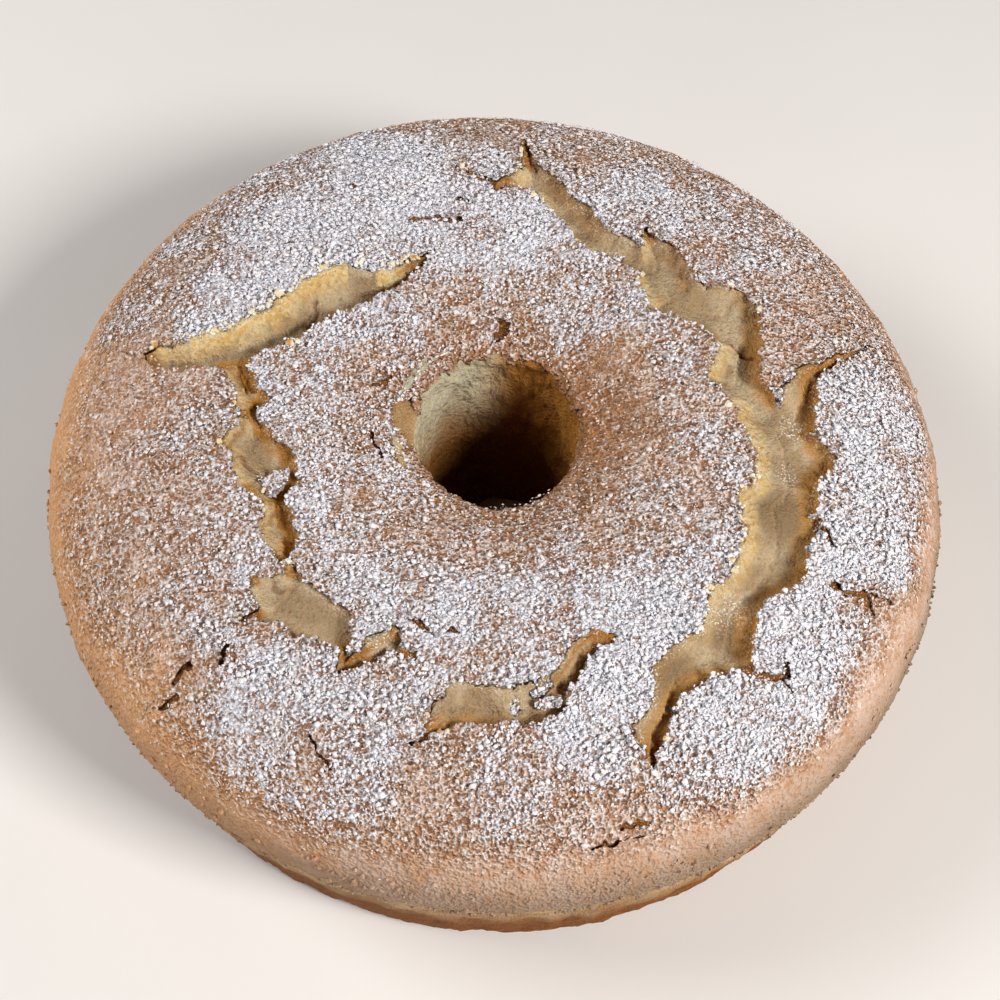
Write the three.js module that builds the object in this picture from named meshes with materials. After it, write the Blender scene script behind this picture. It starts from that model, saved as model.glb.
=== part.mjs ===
// A ring-shaped chiffon cake from a tube pan, standing crust side up.
// Millimetres, +Z up, origin at the middle of the flat base.
// One solid: a flat base, a side that leans out, a rounded shoulder, a domed top, a hole that
// narrows slightly downwards, and the splits where the top tore open in the oven.

import * as THREE from 'three';
import { mergeVertices } from 'three/addons/utils/BufferGeometryUtils.js';

// Driving dimensions.
const SEAM_RADIUS = 125; // widest ring, where the top crust meets the side
const SEAM_HEIGHT = 46;
const BASE_RADIUS = 118;
const BASE_ROUNDING = 2;
const CROWN_RADIUS = 62; // ring along which the dome is highest
const CROWN_HEIGHT = 82;
const SHOULDER_POWER = 2.4; // 2 gives an elliptic shoulder, more makes it squarer
const HOLE_RADIUS = 23; // at its upper end
const HOLE_BASE_RADIUS = 20.5;
const HOLE_SHIFT_X = 1.5;
const HOLE_STRETCH = 0.035; // the hole is longer in Y than in X by this share, each way
const LIP_ROUNDING = 5; // where the top turns down into the hole
const LIP_HEIGHT = 74.5; // top surface just before it turns down
const OVALITY = 0.012; // the outline is this share wider along OVAL_ANGLE, and narrower across it
const OVAL_ANGLE = THREE.MathUtils.degToRad(135);
const SPLIT_BANK = 3; // a split reaches its full depth this far in from its lips
const SPLIT_LUMP = 1.1; // height of the crumb's swellings on the floor of a split
const SWELL_HEIGHT = 0.8; // unevenness of the dome, either way

// Divisions of the surface: finest over the ring where the top has split.
const AROUND = 120;
const SPLIT_RING_INNER = 55;
const SPLIT_RING_OUTER = 112;
const ALONG_SHOULDER = 4;
const ALONG_SPLIT_RING = 22;
const ALONG_PLATEAU = 4;
const ALONG_LIP = 2;
const ALONG_HOLE = 3;

// The splits, seen from above: each is the closed outline of its torn lips, with its depth.
const SPLITS = [
  {
    name: 'far_left',
    depth: 6.5,
    lips: [
      [-95, 19], [-83, 22.5], [-71, 27], [-61, 33], [-51, 43], [-41, 49], [-33, 46], [-25, 49],
      [-16, 55], [-21, 47], [-26, 41], [-36, 35], [-46, 29], [-53, 22], [-62, 19], [-68, 14],
      [-80, 14], [-90, 15],
    ],
  },
  {
    name: 'left',
    depth: 6,
    lips: [
      [-74, 15], [-70, 7], [-66, -3], [-72, -8], [-68, -18], [-66, -23], [-59, -28], [-60, -36],
      [-54, -46], [-50, -43], [-49, -37], [-54, -28], [-50, -22], [-53, -12], [-59, -7],
      [-63, -1], [-59, 4], [-64, 8], [-67, 16],
    ],
  },
  {
    name: 'near_left',
    depth: 6,
    lips: [
      [-61, -49], [-53, -46], [-48, -50], [-39, -57], [-35, -62], [-35, -71], [-26, -64],
      [-22, -65], [-18, -70], [-24, -71], [-38, -75], [-38, -69], [-44, -66], [-50, -65],
      [-63, -61], [-59, -58],
    ],
  },
  {
    name: 'near',
    depth: 6,
    lips: [
      [-22, -94], [-15, -87], [-10, -79], [-3, -79], [5, -80], [14, -76], [20, -68], [27, -65],
      [33, -67], [24, -72], [19, -82], [12, -88], [-3, -89], [-13, -91],
    ],
  },
  {
    name: 'right',
    depth: 6.5,
    lips: [
      [8, 100], [9, 87], [1, 80], [-8, 85], [1, 77], [12, 77], [16, 70], [22, 61], [27, 54],
      [35, 52], [40, 45], [43, 33], [57, 27], [62, 21], [58, 10], [64, 3], [69, -12], [69, -22],
      [64, -25], [65, -38], [61, -48], [55, -53], [52, -64], [46, -68], [40, -73], [39, -84],
      [35, -88], [38, -99], [42, -91], [47, -82], [54, -76], [62, -74], [66, -74], [66, -60],
      [72, -54], [80, -49], [82, -40], [84, -36], [84, -28], [85, -21], [91, -15], [86, -8],
      [87, 10], [93, 16], [106, 27], [90, 17], [83, 13], [77, 3], [73, 10], [74, 35], [68, 41],
      [56, 43], [52, 55], [43, 62], [42, 56], [36, 60], [29, 66], [24, 73], [19, 82], [12, 88],
    ],
  },
];

// Height of the unbroken top at a distance from the cake's axis.
function crustHeight(radius) {
  if (radius > CROWN_RADIUS) {
    const out = (radius - CROWN_RADIUS) / (SEAM_RADIUS - CROWN_RADIUS);
    const drop = (1 - Math.min(1, out) ** SHOULDER_POWER) ** (1 / SHOULDER_POWER);
    return SEAM_HEIGHT + (CROWN_HEIGHT - SEAM_HEIGHT) * drop;
  }
  const inward = (CROWN_RADIUS - radius) / (CROWN_RADIUS - HOLE_RADIUS - LIP_ROUNDING);
  return CROWN_HEIGHT - (CROWN_HEIGHT - LIP_HEIGHT) * inward ** 2;
}

// Radii from one to another in equal steps, without the last.
function radiiBetween(from, to, steps) {
  return Array.from({ length: steps }, (_, step) => THREE.MathUtils.lerp(from, to, step / steps));
}

// Radii of the rings over the top, from the seam in to the lip, closer where the shoulder is steep.
function topRadii() {
  const lip = HOLE_RADIUS + LIP_ROUNDING;
  const shoulder = radiiBetween(0, 1, ALONG_SHOULDER).map((share) =>
    THREE.MathUtils.lerp(SEAM_RADIUS, SPLIT_RING_OUTER, share ** SHOULDER_POWER),
  );
  return [
    ...shoulder,
    ...radiiBetween(SPLIT_RING_OUTER, SPLIT_RING_INNER, ALONG_SPLIT_RING),
    ...radiiBetween(SPLIT_RING_INNER, lip, ALONG_PLATEAU),
  ];
}

// The cake's half section, as a loop of radius and height: base, side, shoulder, dome, hole.
function section() {
  const lip = HOLE_RADIUS + LIP_ROUNDING;
  const lipFoot = LIP_HEIGHT - LIP_ROUNDING;
  const loop = [
    new THREE.Vector2(HOLE_BASE_RADIUS, 0),
    new THREE.Vector2((HOLE_BASE_RADIUS + BASE_RADIUS) / 2, 0),
    new THREE.Vector2(BASE_RADIUS - BASE_ROUNDING, 0),
    new THREE.Vector2(BASE_RADIUS, BASE_ROUNDING),
    new THREE.Vector2((BASE_RADIUS + SEAM_RADIUS) / 2, SEAM_HEIGHT / 2),
  ];
  for (const radius of topRadii()) {
    loop.push(new THREE.Vector2(radius, crustHeight(radius)));
  }
  for (let step = 0; step <= ALONG_LIP; step++) {
    const turn = (step / ALONG_LIP) * (Math.PI / 2);
    const rounding = new THREE.Vector2(-Math.sin(turn), Math.cos(turn)).multiplyScalar(LIP_ROUNDING);
    loop.push(rounding.add(new THREE.Vector2(lip, lipFoot)));
  }
  for (let step = 1; step <= ALONG_HOLE; step++) {
    const down = step / ALONG_HOLE;
    const radius = THREE.MathUtils.lerp(HOLE_RADIUS, HOLE_BASE_RADIUS, down);
    loop.push(new THREE.Vector2(radius, lipFoot * (1 - down)));
  }
  return loop;
}

// How far a point lies inside a closed outline, or 0 outside it.
function insideBy(x, y, outline) {
  let inside = false;
  let nearest = Infinity;
  outline.forEach(([x1, y1], index) => {
    const [x2, y2] = outline[(index + 1) % outline.length];
    const span = (x2 - x1) ** 2 + (y2 - y1) ** 2;
    const along = ((x - x1) * (x2 - x1) + (y - y1) * (y2 - y1)) / span;
    const held = THREE.MathUtils.clamp(along, 0, 1);
    nearest = Math.min(nearest, Math.hypot(x - x1 - held * (x2 - x1), y - y1 - held * (y2 - y1)));
    if (y1 > y !== y2 > y && x < x1 + ((y - y1) / (y2 - y1)) * (x2 - x1)) inside = !inside;
  });
  return inside ? nearest : 0;
}

// How far the top has sunk where a split has opened, with the crumb swelling on its floor.
function splitDepth(x, y) {
  let deepest = 0;
  for (const split of SPLITS) {
    const bank = THREE.MathUtils.smoothstep(insideBy(x, y, split.lips), 0, SPLIT_BANK);
    const lump = SPLIT_LUMP * Math.sin(x / 4) * Math.cos(y / 5);
    deepest = Math.max(deepest, bank * (split.depth + lump));
  }
  return deepest;
}

// The gentle unevenness of the dome, none at the hole and none at the seam.
function swell(radius, angle) {
  const share = THREE.MathUtils.clamp((radius - HOLE_RADIUS) / (SEAM_RADIUS - HOLE_RADIUS), 0, 1);
  const waves = Math.cos(2 * angle + 0.6) + 0.6 * Math.cos(3 * angle - 1.1);
  return SWELL_HEIGHT * Math.sin(Math.PI * share) * waves;
}

function cakeGeometry() {
  const loop = section();
  const geometry = new THREE.LatheGeometry([...loop, loop[0]], AROUND);
  geometry.rotateX(Math.PI / 2);
  const place = geometry.getAttribute('position');
  for (let index = 0; index < place.count; index++) {
    const x = place.getX(index);
    const y = place.getY(index);
    const z = place.getZ(index);
    const radius = Math.hypot(x, y);
    const angle = Math.atan2(y, x);
    const nearHole = 1 - THREE.MathUtils.smoothstep(radius, HOLE_BASE_RADIUS, CROWN_RADIUS);
    const oval = 1 + OVALITY * (1 - nearHole) * Math.cos(2 * (angle - OVAL_ANGLE));
    const newX = x * oval * (1 - HOLE_STRETCH * nearHole) + HOLE_SHIFT_X * nearHole;
    const newY = y * oval * (1 + HOLE_STRETCH * nearHole);
    const onTop = z > SEAM_HEIGHT && radius > HOLE_RADIUS + LIP_ROUNDING / 2;
    const newZ = onTop ? z + swell(radius, angle) - splitDepth(newX, newY) : z;
    place.setXYZ(index, newX, newY, newZ);
  }
  geometry.deleteAttribute('normal');
  geometry.deleteAttribute('uv');
  const merged = mergeVertices(geometry);
  merged.computeVertexNormals();
  return merged;
}

const crumbAndCrust = new THREE.MeshStandardMaterial({
  color: 0xd9b182,
  roughness: 0.85,
  metalness: 0,
});

const group = new THREE.Group();
const cake = new THREE.Mesh(cakeGeometry(), crumbAndCrust);
cake.name = 'cake';
group.add(cake);

export default group;
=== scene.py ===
"""A whole chiffon cake from a tube pan: a domed crust that tore open in the oven, soft crumb in
the splits and down the hole, and powdered sugar sifted over the top."""

import math
from itertools import product

import bmesh
import bpy
import numpy as np
from mathutils import Matrix, Vector


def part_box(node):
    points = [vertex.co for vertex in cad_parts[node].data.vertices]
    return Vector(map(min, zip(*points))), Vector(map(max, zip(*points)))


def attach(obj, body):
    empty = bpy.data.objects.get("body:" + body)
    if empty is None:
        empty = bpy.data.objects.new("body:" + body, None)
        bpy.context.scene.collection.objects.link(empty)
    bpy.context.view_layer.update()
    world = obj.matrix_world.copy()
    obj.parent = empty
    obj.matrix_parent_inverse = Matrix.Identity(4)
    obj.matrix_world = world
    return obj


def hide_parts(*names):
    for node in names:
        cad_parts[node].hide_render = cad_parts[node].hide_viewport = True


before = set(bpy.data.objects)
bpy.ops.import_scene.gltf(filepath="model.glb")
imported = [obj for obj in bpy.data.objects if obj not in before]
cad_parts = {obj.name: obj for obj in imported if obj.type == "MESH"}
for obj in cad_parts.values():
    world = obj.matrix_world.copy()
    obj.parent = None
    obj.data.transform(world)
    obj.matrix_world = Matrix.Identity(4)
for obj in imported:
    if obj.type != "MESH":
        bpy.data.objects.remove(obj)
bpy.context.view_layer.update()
cake_low, cake_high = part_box("cake")

# Shapes are worked out in millimetres and stored in metres.
MM = 0.001

# The cake's main sizes.
SEAM_RADIUS = (cake_high[0] - cake_low[0]) / 2 / MM
SEAM_HEIGHT = 46
BASE_RADIUS = 118
BASE_ROUNDING = 3
CROWN_RADIUS = 62
SWELL_HEIGHT = 0.8
CROWN_HEIGHT = cake_high[2] / MM - 1.1
SHOULDER_POWER = 2.4
HOLE_RADIUS = 23
HOLE_BASE_RADIUS = 20.5
HOLE_SHIFT_X = 1.5
HOLE_STRETCH = 0.035
LIP_ROUNDING = 5
LIP_HEIGHT = 74.5
LIP_RADIUS = HOLE_RADIUS + LIP_ROUNDING
LIP_FOOT = LIP_HEIGHT - LIP_ROUNDING
OVALITY = 0.012
OVAL_ANGLE = math.radians(135)

# The crumb lies this far below the face of the crust, and is drawn in by this much where the
# crust is steep.
CRUST_THICKNESS = 1.3
SIDE_TUCK = 1.7

# The edges of the crust are folded over in steps: how far each goes down, and back under it.
HEM_FOLDS = ((0.4, -0.08), (0.45, 0.0), (0.35, 0.45), (0.3, 1.6))

# How far the hole's wall stands in at its foot, on the far side.
FOOT_FLARE = 1.6

# The crust is only open above this height. The floor of a split is level from this far inside
# its lips, with a slightly deeper trench on one side.
OPEN_ABOVE = SEAM_HEIGHT + 8
SPLIT_BANK = 6
TRENCH_DEPTH = 0.3

# How many edges the round shells have, before they are refined, and the radius beyond which
# the crust has twice as many.
CRUMB_EDGES = 256
CRUST_EDGES = 480
DOUBLED_BEYOND = 58

# How many knobs of crust stand out round the seam.
NUB_COUNT = 2600

# How far from the lips of a split anything still depends on them.
REACH = 8

# A round shell is spun as one sector, which is then doubled until it closes.
SECTORS = 16

# The splits, seen from above: the depth, the way in which the crumb has drawn back from under
# the crust, how cream the lit lips are (torn crumb, with painted light), how golden the shaded
# ones are (mostly painted shade), and the closed outline of the torn lips.
SPLITS = {
    "far_left": {
        "depth": 4.6,
        "lean": (1.2, -1.5),
        "cream": 1.0,
        "gold": 0.6,
        "lips": [
            (-95.5, 19.5), (-90, 21.5), (-83, 22.5), (-71, 27), (-61, 33), (-51, 43), (-41, 49),
            (-33, 46), (-25, 49), (-16, 55), (-21, 47), (-26, 41), (-36, 35), (-46, 29), (-53, 22),
            (-62, 19), (-68, 14), (-80, 14), (-90, 14.8), (-94.5, 17),
        ],
    },
    "left": {
        "depth": 4.6,
        "lean": (1.6, -0.5),
        "cream": 0.5,
        "gold": 2.2,
        "lips": [
            (-74, 15), (-70, 7), (-66, -3), (-72, -8), (-68, -18), (-66, -23), (-59, -28),
            (-60, -36), (-54, -46), (-50, -43), (-49, -37), (-54, -28), (-50, -22), (-53, -12),
            (-59, -7), (-63, -1), (-59, 4), (-64, 8), (-67, 16),
        ],
    },
    "near_left": {
        "depth": 3.9,
        "lean": (1.6, -1.2),
        "cream": 0.3,
        "gold": 0.25,
        "lips": [
            (-53, -45.5), (-50, -46), (-48, -50), (-43, -53.7), (-38.7, -57.3), (-34.8, -62.5),
            (-35.2, -71), (-33, -70), (-30, -67), (-26.5, -64.3), (-23.8, -63.3), (-22, -64.5),
            (-22.7, -68.6), (-17.5, -70), (-18.5, -71.8), (-24.4, -70.8), (-28.5, -72.4),
            (-34, -75), (-38, -75.5), (-38.8, -73), (-38.2, -69), (-44.3, -65.5), (-50, -65.2),
            (-55.3, -61.5), (-63.5, -60.6), (-58.5, -58), (-60.3, -54), (-61.5, -49.5), (-53, -49),
        ],
    },
    "near": {
        "depth": 4.6,
        "lean": (1.3, -1.5),
        "cream": 0.3,
        "gold": 0.6,
        "lips": [
            (-21.6, -94), (-17.3, -91), (-14.5, -86.8), (-13.8, -83.3), (-10.2, -79.3), (-7.7, -78),
            (-2.8, -79.4), (4.5, -80.1), (10, -78.3), (14.3, -76.3), (17, -73.5), (19.8, -67.8),
            (23.6, -65.3), (27, -64.6), (33.5, -66.6), (30, -68.5), (26.3, -68.8), (23.8, -72),
            (21.2, -77), (18.6, -80), (18.6, -82), (16.6, -86), (11.7, -88.4), (8.6, -89.4),
            (4.5, -88), (-2.8, -88.8), (-8.4, -88.5), (-13.2, -90.8),
        ],
    },
    "right": {
        "depth": 4.7,
        "lean": (1.1, -0.4),
        "cream": 0.65,
        "gold": 1.1,
        "lips": [
            (8, 100.5), (8.6, 94), (9, 87), (5, 83.2), (1.2, 80.4), (-3.5, 83.6), (-8.5, 85.2),
            (-4, 81.6), (1, 77.4), (6, 78.6), (12.5, 76.8), (16, 70), (22, 61), (27, 54), (35, 52),
            (40, 45), (43, 33), (57, 27), (62, 21), (58, 10), (64, 3), (69, -12), (69, -22),
            (64, -25), (65, -38), (61, -48), (55, -53), (52, -64), (46, -68), (40, -73), (39, -84),
            (35, -88), (38, -99), (42, -91), (47, -82), (54, -76), (62, -74), (66, -74.5),
            (64.5, -71), (66, -60), (72, -54), (80, -49), (82, -40), (84.5, -36), (84, -28),
            (85, -21), (91, -15), (86, -8), (87, 10), (93, 16), (106, 27), (90, 17), (83, 13),
            (77, 3), (73, 10), (74, 35), (68, 41), (56, 43), (52, 55), (43, 62), (42, 56), (36, 60),
            (29.5, 66), (28.5, 70.5), (24, 73.5), (19, 82), (12.5, 88), (10.5, 100),
        ],
    },
}

# Small cracks that only part the crust: width, and the line that each one follows.
CRACKS = [
    (2.2, [(-24, 65), (-18, 66), (-10, 65)]),
    (1.4, [(-10, 73), (-6, 72)]),
    (1.5, [(-43, 80), (-40, 79)]),
    (3.0, [(3.6, 32.6), (2.6, 30.6), (1.4, 29.2)]),
    (1.3, [(-79, -74), (-75, -71)]),
    (1.3, [(-83, -80), (-79, -78)]),
    (1.2, [(-67, -72), (-66, -67)]),
    (1.3, [(-44, -91), (-42, -95), (-39, -98)]),
    (0.8, [(24, -115.5), (30, -114), (37, -112)]),
    (0.8, [(31, -111.5), (35, -110), (38, -110.4)]),
    (1.8, [(86, -50), (91, -52), (95, -51), (97, -55)]),
    (1.2, [(95, -51), (103, -51)]),
    (0.9, [(-32, -4.5), (-31, -8), (-29.3, -11)]),
    (0.9, [(-33, 10.5), (-30, 12), (-28.5, 14)]),
    (1.5, [(-20, -61.4), (-15.6, -65)]),
    (1.1, [(-11.5, -64.4), (-8.4, -65.2)]),
    (1.8, [(62, -73), (66, -74.8), (70, -76), (73, -74.4), (73.6, -72)]),
    (1.3, [(71.5, -76), (74, -77.6)]),
    (1.3, [(84.4, -33), (85.8, -36), (87.6, -40)]),
]

# How far the crumb comes up in a crack.
CRACK_RISE = 1.25

# Where a flake of crust has come off beside the hole, so that the smooth skin below it shows,
# and how far that skin lies below the face of the crust.
FLAKE = [
    (-28.3, 5.2), (-24.7, 8.2), (-21.5, 9.2), (-20, 5), (-19.5, -4.5), (-22.6, -5.4), (-25.6, -2.1),
    (-27.6, 1.8),
]
FLAKE_DEPTH = 0.5

# Pieces of crust left lying in the splits: how far each has sunk, and its outline.
ISLANDS = [
    (1.8, [
        (-57.5, -17), (-53.5, -17), (-53.3, -21), (-55.3, -23.5), (-57, -25.5), (-59, -25.5),
        (-60.5, -22.5), (-61.5, -20.5), (-59, -19),
    ]),
    (2, [(3.8, -83.5), (5, -82), (7, -82.3), (7.6, -84), (6.3, -86), (4.4, -85.7)]),
    (1, [(8.6, -80.7), (10.6, -79), (14.5, -77), (15.4, -78.5), (12.4, -81), (10, -82)]),
    (1.5, [(10.5, -84.7), (12.4, -82.5), (15.5, -81.2), (17, -82.4), (15.4, -84.4), (12.4, -85.8)]),
]

# Narrow clefts between lobes of the crumb on the floors of the splits, how far each one reaches
# to either side, and how deep it is.
CLEFTS = [
    [(-68.7, 15.3), (-69.1, 12.4), (-68.6, 9.6), (-66, 8.6), (-63.5, 7.6)],
    [(-65.8, -2.8), (-66.3, -5.7), (-68, -8.8), (-69.8, -12)],
    [(-65.7, -13.8), (-64.8, -16.5), (-62, -17.8)],
    [(-54.7, -50.3), (-55.3, -52), (-53, -53.4)],
    [(-49.1, 37), (-49.2, 34.5), (-49.9, 32), (-50.6, 30)],
    [(60.5, 25), (63, 23.9), (67, 21.6), (71.6, 19.1)],
    [(-59.5, -36), (-57, -33), (-56, -29)],
]
CLEFT_REACH = 1.1
CLEFT_DEPTH = 1.0

# Swellings of the crumb on the floors of the splits: place, radius and height.
LUMPS = [
    (75, -30, 9, 3.6), (78, -8, 6, 2), (62, -62, 6, 2), (47, -76, 6.5, 3), (48, 40, 8, 2.6),
    (66, 30, 6, 1.5), (68, 8, 5, 1.5), (-50, -58, 9, 3.2), (-28, -69, 4, 2), (-67, -15, 6, 2.6),
    (-56, -38, 4, 2), (-64, 6, 4, 1.5), (-8, -85, 6, 2.4), (5, -84, 5, 2), (-45, 38, 6, 1.5),
    (-70, 20, 6, 1.5),
]

# Swellings of the crumb that are painted darker: place and radius.
DARKENED_LOBES = [(75, -31, 8.5), (59.5, -64, 5), (45, -76, 7.5)]

# Where loose sugar has fallen on the open crumb: place and radius.
VEILS = [(60.5, -57, 4), (57, -60, 3), (81, -4, 4), (77.5, -18, 3), (-28, -67, 3)]

# How thickly the sugar lies at places over the top, from 0 to 1, read between them. Each place
# counts out to about this reach.
DUSTING_REACH = math.sqrt(110)
DUSTING = [
    (-70, 38, 0.85), (-50, 60, 1.0), (-28, 76, 1.0), (-10, 66, 0.85), (6, 66, 0.85), (0, 92, 0.55),
    (22, 95, 0.45), (38, 72, 0.7), (28, 44, 0.6), (66, 62, 0.5), (88, 30, 0.42), (98, 52, 0.37),
    (-40, 30, 0.75), (-56, 12, 0.7), (-48, -12, 0.55), (-40, -32, 0.5), (-44, -46, 0.65),
    (-78, -5, 0.45), (-70, -27, 0.5), (-92, 4, 0.25), (-88, -40, 0.3), (-66, -52, 0.5),
    (-54, -78, 0.65), (-28, -90, 0.65), (-45, -103, 0.5), (5, -103, 0.5), (22, -92, 0.8),
    (36, -76, 0.95), (-8, -62, 0.7), (14, -58, 0.7), (46, -58, 0.75), (60, -40, 0.6),
    (56, -8, 0.45), (58, 14, 0.45), (44, -30, 0.38), (34, -12, 0.2), (32, 8, 0.18), (0, 32, 0.4),
    (-30, 10, 0.48), (-26, -16, 0.42), (2, -34, 0.3), (104, 4, 0.8), (98, -20, 0.78),
    (94, -40, 0.85), (84, -60, 0.95), (72, -72, 0.95), (56, -86, 0.9), (48, -102, 0.5),
    (22, -112, 0.34), (-12, -112, 0.3), (98, -62, 0.3), (-108, 10, 0.16), (-70, 84, 0.62),
    (-100, 46, 0.42), (-88, 66, 0.5), (0, 114, 0.33), (60, 98, 0.4), (112, 22, 0.4),
    (-84, -78, 0.25), (116, -24, 0.4), (82, 80, 0.46),
]


# ---------------------------------------------------------------- numbers over many points


def scattered(cells, seed):
    """A repeatable number from 0 to 1 for each whole-number cell."""
    mixed = cells[..., 0] * 73856093 ^ cells[..., 1] * 19349663 ^ cells[..., 2] * 83492791
    mixed = (mixed ^ seed * 2654435761) & 0xFFFFFFFF
    mixed = (mixed ^ mixed >> 15) * 2246822519 & 0xFFFFFFFF
    mixed = (mixed ^ mixed >> 13) * 3266489917 & 0xFFFFFFFF
    return ((mixed ^ mixed >> 16) & 0xFFFFFF) / 0xFFFFFF


def noise(points, size, seed):
    """Smooth noise from -1 to 1, in waves about twice the size."""
    places = np.asarray(points) / size
    cell = np.floor(places).astype(np.int64)
    share = places - cell
    share = share * share * (3 - 2 * share)
    total = 0
    for corner in product((0, 1), repeat=3):
        weight = np.prod(np.where(corner, share, 1 - share), axis=-1)
        total = total + weight * scattered(cell + corner, seed)
    return 2 * total - 1


def rough(points, size, seed, octaves=3):
    """Noise with finer noise on it."""
    return sum(noise(points, size / 2**step, seed + step) / 1.8**step for step in range(octaves))


def pebbles(points, size, seed):
    """Rounded bumps side by side: 1 at the top of a bump, falling to 0 between bumps."""
    places = np.asarray(points) / size
    cell = np.floor(places).astype(np.int64)
    nearest = np.full(len(places), 9.0)
    for offset in product((-1, 0, 1), repeat=3):
        other = cell + offset
        middle = np.stack([scattered(other, seed + axis) for axis in range(3)], axis=-1)
        gap = np.sum((other + middle - places) ** 2, axis=-1)
        nearest = np.minimum(nearest, gap)
    return np.clip(1 - nearest, 0, 1)


def ramp(values, low, high):
    """Smooth step from 0 at low to 1 at high."""
    share = np.clip((values - low) / (high - low), 0, 1)
    return share * share * (3 - 2 * share)


def level(x, y):
    """Points with no height, for patterns seen from above."""
    return np.column_stack([x, y, np.zeros(len(x))])


def apart(x, y, middle_x, middle_y, radius):
    """The squared distance of places from a middle, counted in radii."""
    return ((x - middle_x) ** 2 + (y - middle_y) ** 2) / radius**2


# ---------------------------------------------------------------- the cake's form


def crust_height(radius):
    """Height of the unbroken top at a distance from the axis."""
    out = np.clip((radius - CROWN_RADIUS) / (SEAM_RADIUS - CROWN_RADIUS), 0, 1)
    shoulder = (1 - out**SHOULDER_POWER) ** (1 / SHOULDER_POWER)
    inward = np.clip((CROWN_RADIUS - radius) / (CROWN_RADIUS - LIP_RADIUS), 0, 1)
    rim = np.clip((LIP_RADIUS - radius) / LIP_ROUNDING, 0, 1)
    top = SEAM_HEIGHT + (CROWN_HEIGHT - SEAM_HEIGHT) * shoulder
    plateau = (CROWN_HEIGHT - LIP_HEIGHT) * inward**2
    return top - plateau - LIP_ROUNDING * (1 - np.sqrt(1 - rim**2))


def swell(radius, angle):
    """The gentle unevenness of the dome, none at the hole and none at the seam."""
    share = np.clip((radius - HOLE_RADIUS) / (SEAM_RADIUS - HOLE_RADIUS), 0, 1)
    waves = np.cos(2 * angle + 0.6) + 0.6 * np.cos(3 * angle - 1.1)
    return SWELL_HEIGHT * np.sin(np.pi * share) * waves


def stretch(x, y):
    """How near the hole places are, from 0 to 1, and how far the oval form stretches them."""
    near_hole = 1 - ramp(np.hypot(x, y), HOLE_BASE_RADIUS, CROWN_RADIUS)
    angle = np.arctan2(y, x)
    return near_hole, 1 + OVALITY * (1 - near_hole) * np.cos(2 * (angle - OVAL_ANGLE))


def pull(points):
    """Moves a true round form to the cake's own: slightly oval, with its hole off the middle."""
    x, y, z = points.T
    near_hole, oval = stretch(x, y)
    pulled_x = x * oval * (1 - HOLE_STRETCH * near_hole) + HOLE_SHIFT_X * near_hole
    return np.column_stack([pulled_x, y * oval * (1 + HOLE_STRETCH * near_hole), z])


def top_height(x, y):
    """Height of the unbroken crust over a place on the cake, found by undoing the pull."""
    round_x, round_y = x, y
    for _ in range(3):
        near_hole, oval = stretch(round_x, round_y)
        round_x = (x - HOLE_SHIFT_X * near_hole) / (oval * (1 - HOLE_STRETCH * near_hole))
        round_y = y / (oval * (1 + HOLE_STRETCH * near_hole))
    radius = np.hypot(round_x, round_y)
    return crust_height(radius) + swell(radius, np.arctan2(round_y, round_x))


def close_to(x, y, corners):
    """Which places lie within REACH of the box round some corners."""
    low, high = corners.min(axis=0) - REACH, corners.max(axis=0) + REACH
    return (x > low[0]) & (x < high[0]) & (y > low[1]) & (y < high[1])


def beside(x, y, route):
    """How far places lie from a line of points, up to REACH."""
    corners = np.array(route, float)
    near = close_to(x, y, corners)
    x, y = x[near], y[near]
    nearest = np.full(len(x), float(REACH))
    for (x1, y1), (x2, y2) in zip(corners, corners[1:]):
        run, rise = x2 - x1, y2 - y1
        along = np.clip(((x - x1) * run + (y - y1) * rise) / (run**2 + rise**2), 0, 1)
        nearest = np.minimum(nearest, np.hypot(x - x1 - along * run, y - y1 - along * rise))
    away = np.full(len(near), float(REACH))
    away[near] = nearest
    return away


def inside_by(x, y, outline):
    """How far places lie inside a closed outline, negative outside it, down to -REACH."""
    corners = np.array(outline, float)
    by = -beside(x, y, [*outline, outline[0]])
    near = close_to(x, y, corners)
    x, y = x[near], y[near]
    inside = np.zeros(len(x), bool)
    for (x1, y1), (x2, y2) in zip(corners, np.roll(corners, -1, axis=0)):
        if y1 != y2:
            crosses = (y1 > y) != (y2 > y)
            inside ^= crosses & (x < x1 + (y - y1) / (y2 - y1) * (x2 - x1))
    by[near] *= np.where(inside, -1, 1)
    return by


def open_by(x, y):
    """How far places lie inside the torn lips of any split, with the lips' jagged teeth."""
    here = level(x, y)
    wander_x = x + 0.9 * noise(here, 3.5, 11)
    wander_y = y + 0.9 * noise(here, 3.5, 12)
    gap = lip_distance(wander_x, wander_y) + 0.7 * noise(here, 1.2, 13) + 0.3 * noise(here, 0.55, 14)
    for _, outline in ISLANDS:
        gap = np.minimum(gap, -inside_by(wander_x, wander_y, outline))
    gap = np.maximum(gap, inside_by(wander_x, wander_y, FLAKE) + 0.6 * noise(here, 1.2, 17))
    return np.maximum(gap, crack_by(x, y))


def crack_by(x, y):
    """How far places lie inside any of the small cracks."""
    here = level(x, y)
    wander_x = x + 0.7 * noise(here, 1.6, 15)
    wander_y = y + 0.7 * noise(here, 1.6, 16)
    by = np.full(len(x), -float(REACH))
    for width, route in CRACKS:
        by = np.maximum(by, width / 2 - beside(wander_x, wander_y, route))
    return by


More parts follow.
